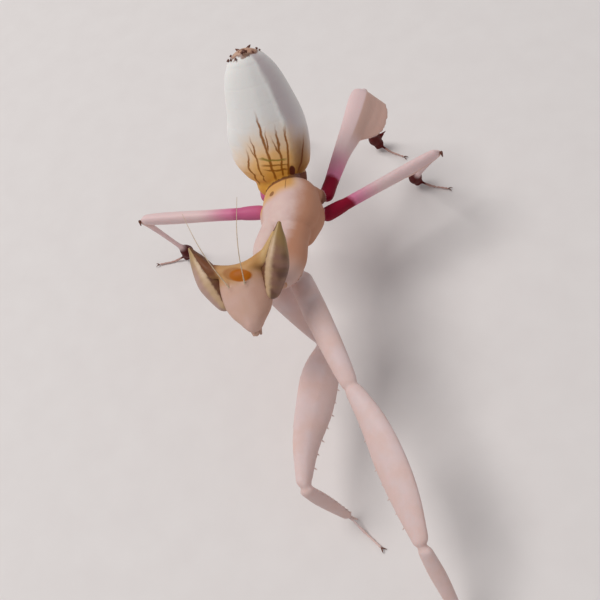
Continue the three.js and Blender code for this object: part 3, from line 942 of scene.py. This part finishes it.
# %% Painting the head
FACE_TAN = paint(208, 170, 152)
FACE_PAINTED_SHADE = paint(186, 140, 116)
OCHRE = paint(188, 138, 70)
BROW_SHADED_BROWN = paint(104, 58, 38)
BROW_LIT_CREAM = paint(206, 172, 120)
SPOT_ORANGE = paint(172, 94, 0)
SPOT_BROWN = paint(150, 86, 36)
SPOT_TILT = math.radians(-16)
SPOT_LEFT, SPOT_UP = 0.25, -0.46


def head_colour(recipe, up, left, mottle):
    on_front = recipe.rise(recipe.attribute("out_of_face"), 0.0, 0.2)
    # painted shade: the left of the face, turned from the light, is painted darker
    shade = recipe.rise(left + (mottle - 0.5) * 0.5, 0.1, 1.1)
    saddle = recipe.rise(up - abs(left) * 0.1 + (mottle - 0.5) * 0.3, -1.25, -0.3)
    # The brows are yellow-brown; painted shade makes the one inside the right eye dark brown, and
    # painted light makes the one inside the left eye cream.
    brow = recipe.rise(abs(left), 0.85, 1.25) * recipe.rise(up, -0.5, 0.0)
    across, rise = left - SPOT_LEFT, up - SPOT_UP
    spot_x = across * math.cos(SPOT_TILT) + rise * math.sin(SPOT_TILT)
    spot_y = rise * math.cos(SPOT_TILT) - across * math.sin(SPOT_TILT)
    ember = recipe.patch(spot_x, -0.3, 0.7, spot_y, 0.05, 0.3) * on_front
    spot = recipe.patch(spot_x, 0, 0.58, spot_y, 0, 0.29) * on_front
    return recipe.layers(
        FACE_TAN,
        (SHELL_PINK, mottle * 0.4),
        (FACE_PAINTED_SHADE, shade * 0.6),
        (OCHRE, saddle * 0.8),
        (BROW_SHADED_BROWN, brow * recipe.rise(left, 0.0, -0.3) * 0.9),
        (BROW_LIT_CREAM, brow * recipe.rise(left, 1.2, 1.6) * 0.7),
        (SPOT_BROWN, ember * 0.55),
        (SPOT_ORANGE, spot * (1.1 - mottle * 0.25)),
    )


# %% Painting the legs
WINE = paint(134, 0, 38)
WINE_PAINTED_LIGHT = paint(196, 98, 138)
PLUM_PINK = paint(212, 124, 158)
DARK_BROWN = paint(84, 10, 8)
LEG_WHITE = paint(228, 200, 199)
LOBE_PAINTED_SHADE = paint(212, 174, 158)
FOOT_BROWN = paint(196, 158, 148)
FORE_GREY = paint(220, 198, 196)
FORE_PEACH = paint(220, 190, 182)


def leg_colour(recipe, along, around, mottle):
    place = along + (mottle - 0.5) * 0.03
    # painted light: the wine red is paler near the right middle hip, where light falls on it
    lit_near_right_hip = recipe.rise(recipe.attribute("from_right_hip"), 3.6, 2.0)
    pale = recipe.mix(PLUM_PINK, LEG_WHITE, recipe.rise(place, 0.1, 0.4))
    # painted shade: the undersides of the petal lobes are painted tan
    under = recipe.rise(abs(around), 1.45, 1.75) * recipe.rise(along, 0.4, 0.55)
    return recipe.layers(
        recipe.mix(WINE, WINE_PAINTED_LIGHT, lit_near_right_hip),
        (pale, recipe.rise(place, 0.09, 0.125)),
        (LOBE_PAINTED_SHADE, under * recipe.rise(along, 1.2, 1.0) * 0.85),
        (DARK_BROWN, recipe.rise(place, 1.74, 1.84)),
        (FOOT_BROWN, recipe.rise(place, 2.0, 2.2) * 0.9),
    )


def foreleg_colour(recipe, along, around, mottle):
    streak = recipe.noise(0.35, 3.0, recipe.stretched(0.2))
    return recipe.layers(
        FORE_GREY,
        (FORE_PEACH, mottle),
        (FORE_PEACH, recipe.rise(abs(around), 1.6, 2.4) * 0.6),
        (LEG_WHITE, recipe.rise(streak, 0.4, 0.75) * 0.3),
    )


print("painters ready, the wine red ends at", WINE_SHARE)

# %% Skin material
SCATTER = (0.8, 0.5, 0.4)


def skin_bump(recipe, along):
    """Fine cuticle grain everywhere, and soft plate joints and folds on the abdomen."""
    grain = recipe.noise(0.08, 2.0) * 0.35 + recipe.noise(0.3, 3.0) * 0.65
    joints = recipe.rise(recipe.maths("PINGPONG", along * 7.6 + 0.1, 0.5), 0.0, 0.1)
    folds = recipe.noise(0.9, 2.0, recipe.stretched(0.25))
    on_abdomen = recipe.attribute("on_abdomen")
    return grain + (joints * 0.25 + folds * 1.6) * on_abdomen


def skin_material():
    recipe = Recipe("living_skin")
    along, around = recipe.attribute("along"), recipe.attribute("around")
    mottle = recipe.rise(recipe.noise(1.1, 4.0), 0.3, 0.7)
    painters = {"abdomen": abdomen_colour, "head": head_colour, "leg": leg_colour,
                "foreleg": foreleg_colour}
    coats = [(painter(recipe, along, around, mottle), recipe.attribute(f"on_{name}"))
             for name, painter in painters.items()]
    colour = recipe.layers(trunk_colour(recipe, along, around, mottle), *coats)
    bump = recipe.bump(skin_bump(recipe, along), 0.03, 0.6)
    return recipe.finish(Base_Color=colour, Roughness=0.42 + mottle * 0.14, Normal=bump,
                         Specular_IOR_Level=0.2, Subsurface_Weight=0.12, Subsurface_Scale=0.0005,
                         Subsurface_Radius=SCATTER, IOR=1.45)


# %% [markdown]
# ## From the bench to the real size
# A finished piece is moved to the shared origin, shrunk to metres and its place is applied, then it
# is told which body it rides with, and the construction nodes that it stands for are hidden.

# %% Finishing a piece
def to_real_size(piece, material, replaced=()):
    nothing_selected()
    piece.select_set(True)
    bpy.context.view_layer.objects.active = piece
    piece.location = TO_ORIGIN * BENCH_TO_METRES
    piece.scale = (BENCH_TO_METRES,) * 3
    bpy.ops.object.transform_apply(location=True, rotation=True, scale=True)
    bpy.ops.object.shade_smooth()
    piece.data.materials.clear()
    piece.data.materials.append(material)
    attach(piece, "root")
    if replaced:
        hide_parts(*replaced)
    return piece


FLESH_NODES = ["thorax", "pronotum", "abdomen", "head", "neck"]
for leg in LEG_JOINTS:
    FLESH_NODES += [f"{leg}_{part}" for part in ("coxa", "femur", "tibia", "tarsus")]
to_real_size(skin, skin_material(), FLESH_NODES)
print("construction nodes that the skin stands for:", len(FLESH_NODES))

# %% [markdown]
# ## Eyes
# Each compound eye is a tall cone with a point at its top. It is cream in front, grey and speckled
# outside and olive towards the point, with a dark band along its inner edge that is partly its own
# brown and partly painted shade, and its surface is a field of tiny lenses. The left eye is turned
# from the light, so its outside is painted browner and more blotched as painted shade, and each eye
# stores a number for how much painted shade it takes.

# %% Eyes
EYE_ROWS = [
    (0, 0.28, 0.3, 0.32),
    (0.22, 0.54, 0.52, 0.6),
    (0.46, 0.69, 0.62, 0.7),
    (0.76, 0.43, 0.42, 0.45),
    (0.93, 0.16, 0.17, 0.18),
    (1, 0.08, 0.09, 0.09),
]
EYE_CREAM = paint(198, 166, 132)
EYE_OLIVE = paint(160, 130, 66)
EYE_BROWN_AND_SHADE = paint(92, 46, 28)
EYE_GREY = paint(186, 152, 140)
EYE_SHADED_TAUPE = paint(138, 100, 84)
EYE_SPECK = paint(92, 56, 42)
LENS_SIZE = 0.045


def eye_material():
    recipe = Recipe("eye_glaze")
    along, inward = recipe.attribute("along"), recipe.attribute("around")
    painted_shade = recipe.attribute("painted_shade")
    fibre = recipe.noise(0.22, 3.0)
    angle = inward + (fibre - 0.5) * 0.35
    # painted shade: on the shaded eye the outside turns taupe and more blotched; the blotches are
    # also the eye's own speckle
    outside = recipe.mix(EYE_GREY, EYE_SHADED_TAUPE, painted_shade)
    blotch_and_shade = recipe.rise(recipe.noise(0.8, 1.0), 0.45, 0.7) * (painted_shade * 0.6 + 0.1)
    outside = recipe.mix(outside, EYE_SPECK, blotch_and_shade)
    rings = recipe.maths("PINGPONG", along * 9.0, 0.5)
    colour = recipe.layers(
        EYE_CREAM,
        (outside, recipe.rise(angle, 0.15, -0.35)),
        (EYE_OLIVE, recipe.rise(along - angle * 0.12, 0.6, 0.95) * 0.7),
        # the inner band: the eye's own brown, darkened further as painted shade
        (EYE_BROWN_AND_SHADE, recipe.rise(angle, 0.34, 0.56) * 0.92),
        (EYE_OLIVE, recipe.rise(rings, 0.1, 0.5) * 0.12),
    )
    lenses = recipe.node("ShaderNodeTexVoronoi", {"feature": "F1"}, {
        "Vector": recipe.object_place(), "Scale": 1 / (LENS_SIZE * BENCH_TO_METRES)})
    dimple = recipe.bump(Value(recipe, lenses.outputs["Distance"]), 0.01, 0.3)
    return recipe.finish(Base_Color=colour, Roughness=0.36 + fibre * 0.12, Normal=dimple,
                         Specular_IOR_Level=0.35, Coat_Weight=0.08, Coat_Roughness=0.2)


eye_glaze = eye_material()
# the left eye, turned from the light, takes full painted shade; the right eye takes a little
for side, sign, shade in (("left", SIDES["left"], 1.0), ("right", SIDES["right"], 0.1)):
    foot_of_eye = on_head(sign * 1.22, -2.0, -0.2)
    tip_of_eye = on_head(sign * 2.55, 1.5, -0.68)
    eye = draw_limb(f"eye_{side}_globe", foot_of_eye, tip_of_eye, BACK_OF_HEAD, EYE_ROWS,
                    steps=36, ring_cuts=11, roundness=0.95)
    note = {"start": foot_of_eye, "end": tip_of_eye, "rows": EYE_ROWS, "bow": Vector((0, 0, 0)),
            "turn": limb_frame(foot_of_eye, tip_of_eye, BACK_OF_HEAD)}
    share, angle, _ = place_on(note, points_of(eye))
    inner = -sign if note["turn"].col[0].dot(head_left) > 0 else sign
    store(eye, "along", share)
    store(eye, "around", angle * inner)
    store(eye, "painted_shade", np.full(len(share), shade))
    to_real_size(eye, eye_glaze, [f"eye_{side}"])
print("eyes made")

# %% [markdown]
# ## Feelers and mouthparts
# The feelers are fine threads. The mouthparts are a small lip with two palps beside it.

# %% Feelers
def plain_material(name, colour, roughness, grain_mm, grain_depth):
    recipe = Recipe(name)
    speck = recipe.noise(grain_mm, 3.0)
    darker = tuple(c * 0.7 for c in colour[:3]) + (1.0,)
    tint = recipe.mix(darker, colour, recipe.rise(speck, 0.3, 0.6))
    return recipe.finish(Base_Color=tint, Roughness=roughness + speck * 0.1,
                         Normal=recipe.bump(speck, grain_depth, 0.5))


feeler_horn = plain_material("feeler_horn", paint(214, 190, 160), 0.45, 0.12, 0.01)
dark_horn = plain_material("dark_horn", paint(104, 52, 32), 0.4, 0.15, 0.01)
lip_horn = plain_material("lip_horn", paint(202, 160, 140), 0.4, 0.15, 0.01)
pale_horn = plain_material("pale_horn", paint(226, 196, 186), 0.35, 0.1, 0.005)
FEELER_ROWS = [even(0, 0.05), even(0.1, 0.03), even(0.6, 0.02), even(1, 0.012)]
for side, sign in SIDES.items():
    root, end = on_head(sign * 0.42, -0.93, 0.5), on_head(sign * 1.5, 3.1, 0.9)
    feeler = draw_limb(f"feeler_{side}", root, end, BACK_OF_HEAD, FEELER_ROWS, steps=36,
                       ring_cuts=1, bow=face_out * 0.4)
    to_real_size(feeler, feeler_horn, [f"antenna_{side}"])
print("feeler length:", round((end - root).length, 2))

# %% Lip and palps
LIP_ROWS = [(0, 0.24, 0.18, 0.2), (1, 0.14, 0.12, 0.14)]
PALP_ROWS = [even(0, 0.09), even(1, 0.06)]
lip_pieces = [draw_limb("lip", on_head(0, -3.15, 0.02), on_head(0, -3.56, -0.02), BACK_OF_HEAD,
                        LIP_ROWS, steps=6)]
for sign in (-1, 1):
    root, end = on_head(sign * 0.28, -3.05, -0.1), on_head(sign * 0.18, -3.55, -0.12)
    lip_pieces.append(draw_limb("palp", root, end, BACK_OF_HEAD, PALP_ROWS, steps=5))
print("mouth pieces:", len(lip_pieces))
to_real_size(join_pieces("lip", lip_pieces), lip_horn, ["mouthparts"])

# %% [markdown]
# ## Claws and spines
# Each foot ends in two fine claws. The grasping legs carry a row of short spines along their inner
# edges and a hooked claw at the end of the tibia. One tapered thorn shape makes them all.

# %% Claws and knee thorns
CLAW_ROOT = 0.96  # share of ankle to toe
CLAW_LENGTH = 0.3
CLAW_THICK = 0.045
CLAW_SPREAD = math.radians(28)
CLAW_DROP = Vector((0, 0, -0.04))
CLAW_BOW = Vector((0, 0, 0.06))
KNEE_THORN = Vector((0.1, -0.3, -0.2))
KNEE_REACH = 0.2


def thorn(root, end, thick, bow=None):
    rows = [even(0, thick), even(0.5, thick * 0.7), even(1, thick * 0.2)]
    return draw_limb("thorn", root, end, BELLY, rows, steps=4, ring_cuts=1, bow=bow)


foot_claws = []
for joints in LEG_JOINTS.values():
    ankle, toe = joints[-2:]
    root = on_ground(ankle, toe, CLAW_ROOT)
    for spread in (-CLAW_SPREAD, CLAW_SPREAD):
        way = Matrix.Rotation(spread, 3, "Z") @ level_way(ankle, toe)
        end = root + way * CLAW_LENGTH + CLAW_DROP
        foot_claws.append(thorn(root, end, CLAW_THICK, CLAW_BOW))
for side in SIDES:
    hip, knee = LEG_JOINTS[f"mid_{side}"][:2]
    tip_of_knee = knee + (knee - hip).normalized() * KNEE_REACH
    foot_claws.append(thorn(tip_of_knee, tip_of_knee + KNEE_THORN, 0.1))
print("claws and knee thorns:", len(foot_claws))
to_real_size(join_pieces("foot_claws", foot_claws), dark_horn)

# %% Spines of the grasping legs
SPINE_SHARES = {"femur": np.linspace(0.22, 0.86, 8), "tibia": np.linspace(0.15, 0.9, 9)}
SPINE_DEPTH = 0.92  # share of the limb's depth at which a spine is rooted
SPINE_THICK = 0.04
SPINE_LEAN = 0.06
SHORT_SPINE, LONG_SPINE = 0.11, 0.17
HOOK_ROOT = 0.94
HOOK_THICK = 0.14

spines = []
for side in SIDES:
    _, elbow, knee, wrist, _ = LEG_JOINTS[f"fore_{side}"]
    below = LOBE_BELOW[f"fore_{side}"]
    for part, start, end, rows in (("femur", elbow, knee, FORE_FEMUR_ROWS[f"fore_{side}"]),
                                   ("tibia", knee, wrist, FORE_TIBIA_ROWS)):
        edge = -limb_frame(start, end, below).col[1]
        lean = (end - start).normalized() * SPINE_LEAN
        for number, share in enumerate(SPINE_SHARES[part]):
            root = start.lerp(end, share) + edge * row_at(rows, share)[2] * SPINE_DEPTH
            length = LONG_SPINE if part == "femur" and number % 2 else SHORT_SPINE
            spines.append(thorn(root, root + edge * length + lean, SPINE_THICK))
    hook_root = knee.lerp(wrist, HOOK_ROOT)
    hook = (wrist - knee).normalized() * 0.75 + below * 0.25
    spines.append(thorn(hook_root, hook_root + hook, HOOK_THICK, below * -0.12))
print("spines and hooks:", len(spines))
to_real_size(join_pieces("foreleg_spines", spines), pale_horn)

# %% [markdown]
# ## The end of the abdomen
# The last plate ends in a ragged brown fringe with small dark points, and two short feelers, the
# cerci, stand at the rear of it.

# %% Fringe and cerci
FRINGE = [  # angle in degrees, share of the length, length and thickness in millimetres
    (-84, 0.94, 0.16, 0.15),
    (-62, 0.95, 0.1, 0.13),
    (-34, 0.955, 0.12, 0.12),
    (-6, 0.985, 0.14, 0.13),
    (6, 0.99, 0.24, 0.16),
    (18, 0.985, 0.14, 0.13),
    (50, 0.965, 0.1, 0.1),
    (90, 0.95, 0.12, 0.1),
    (125, 0.95, 0.14, 0.12),
    (-120, 0.95, 0.14, 0.12),
]
CERCUS_ANGLES = (-155, 155)
CERCUS_SHARE, CERCUS_LENGTH, CERCUS_THICK = 0.97, 0.42, 0.11
CLOSING_SHARE = 0.96  # past this the abdomen rounds off, and its section is smaller
CLOSING_SIZE = math.sin(math.radians(60))
abdomen_way = (ABDOMEN_TIP - ABDOMEN_ROOT).normalized()


def on_abdomen(share, degrees, lift):
    """A place on the abdomen: share of its length, angle from its back, and lift off its surface."""
    angle = math.radians(degrees)
    half, high, _ = row_at(ABDOMEN_ROWS, share)
    turn = limb_frame(ABDOMEN_ROOT, ABDOMEN_TIP, ABDOMEN_BELOW)
    side = -turn.col[0] if turn.col[0].x < 0 else turn.col[0]
    open_by = CLOSING_SIZE if share > CLOSING_SHARE else 1.0
    out = side * (half * math.sin(angle)) + turn.col[1] * (high * math.cos(angle))
    middle = ABDOMEN_ROOT.lerp(ABDOMEN_TIP, share) + ABDOMEN_BOW * math.sin(math.pi * share)
    return middle + out * (open_by + lift)


def outward_thorn(share, degrees, sunk, outward, onward, length, thick, bow=None):
    """A thorn on the abdomen, rooted a little under the surface, that leans towards its tip."""
    root = on_abdomen(share, degrees, -sunk)
    out = (on_abdomen(share, degrees, 1.0) - root).normalized()
    end = root + (out * outward + abdomen_way * onward) * length
    return thorn(root, end, thick, bow)


fringe = [outward_thorn(share, angle, 0.12, 0.8, 0.3, length, thick, abdomen_way * 0.05)
          for angle, share, length, thick in FRINGE]
fringe += [outward_thorn(CERCUS_SHARE, angle, 0.3, 1.0, 0.2, CERCUS_LENGTH, CERCUS_THICK)
           for angle in CERCUS_ANGLES]
print("thorns at the end of the abdomen:", len(fringe))
to_real_size(join_pieces("tip_fringe", fringe), dark_horn)

# %% [markdown]
# ## Floor and light
# A plain pale floor and soft studio light: a large lamp high on the picture's left, a weaker one on
# the right, and an even grey surround.

# %% Floor
FLOOR_HALF = 0.6
nothing_selected()
bpy.ops.mesh.primitive_plane_add(size=FLOOR_HALF * 2, location=(0, 0, 0))
floor = bpy.context.object
floor.name = "floor"
floor_recipe = Recipe("floor_paper")
paper = floor_recipe.noise(2.0, 2.0)
floor_colour = floor_recipe.mix(paint(226, 220, 218), paint(232, 227, 225), paper)
floor_recipe.finish(Base_Color=floor_colour, Roughness=0.85)
floor.data.materials.append(floor_recipe.material)
print("floor, in metres across:", FLOOR_HALF * 2)


# %% Light
BODY_HEIGHT = Vector((0, 0, 0.008))
SURROUND_GREY = (0.9, 0.9, 0.92, 1)
SURROUND_STRENGTH = 0.38


def soft_light(name, direction, distance, size, watts, colour):
    data = bpy.data.lights.new(name, "AREA")
    data.shape = "DISK"
    data.size = size
    data.energy = watts
    data.color = colour
    light = bpy.data.objects.new(name, data)
    bpy.context.scene.collection.objects.link(light)
    direction = direction.normalized()
    light.location = direction * distance + BODY_HEIGHT
    light.rotation_euler = direction.to_track_quat("Z", "Y").to_euler()


key_way = picture_right * -0.8 + picture_up * 0.55 + toward_camera * 0.75
fill_way = picture_right * 0.9 + picture_up * 0.1 + toward_camera * 0.8
soft_light("key", key_way, 0.3, 0.16, 0.55, (1.0, 0.985, 0.97))
soft_light("fill", fill_way, 0.35, 0.3, 0.08, (1.0, 0.95, 0.95))
world = bpy.data.worlds.new("studio")
bpy.context.scene.world = world
world.use_nodes = True
surround = world.node_tree.nodes["Background"]
surround.inputs["Color"].default_value = SURROUND_GREY
surround.inputs["Strength"].default_value = SURROUND_STRENGTH
bpy.context.scene.view_settings.view_transform = "Standard"
print("lamps:", len(bpy.data.lights))
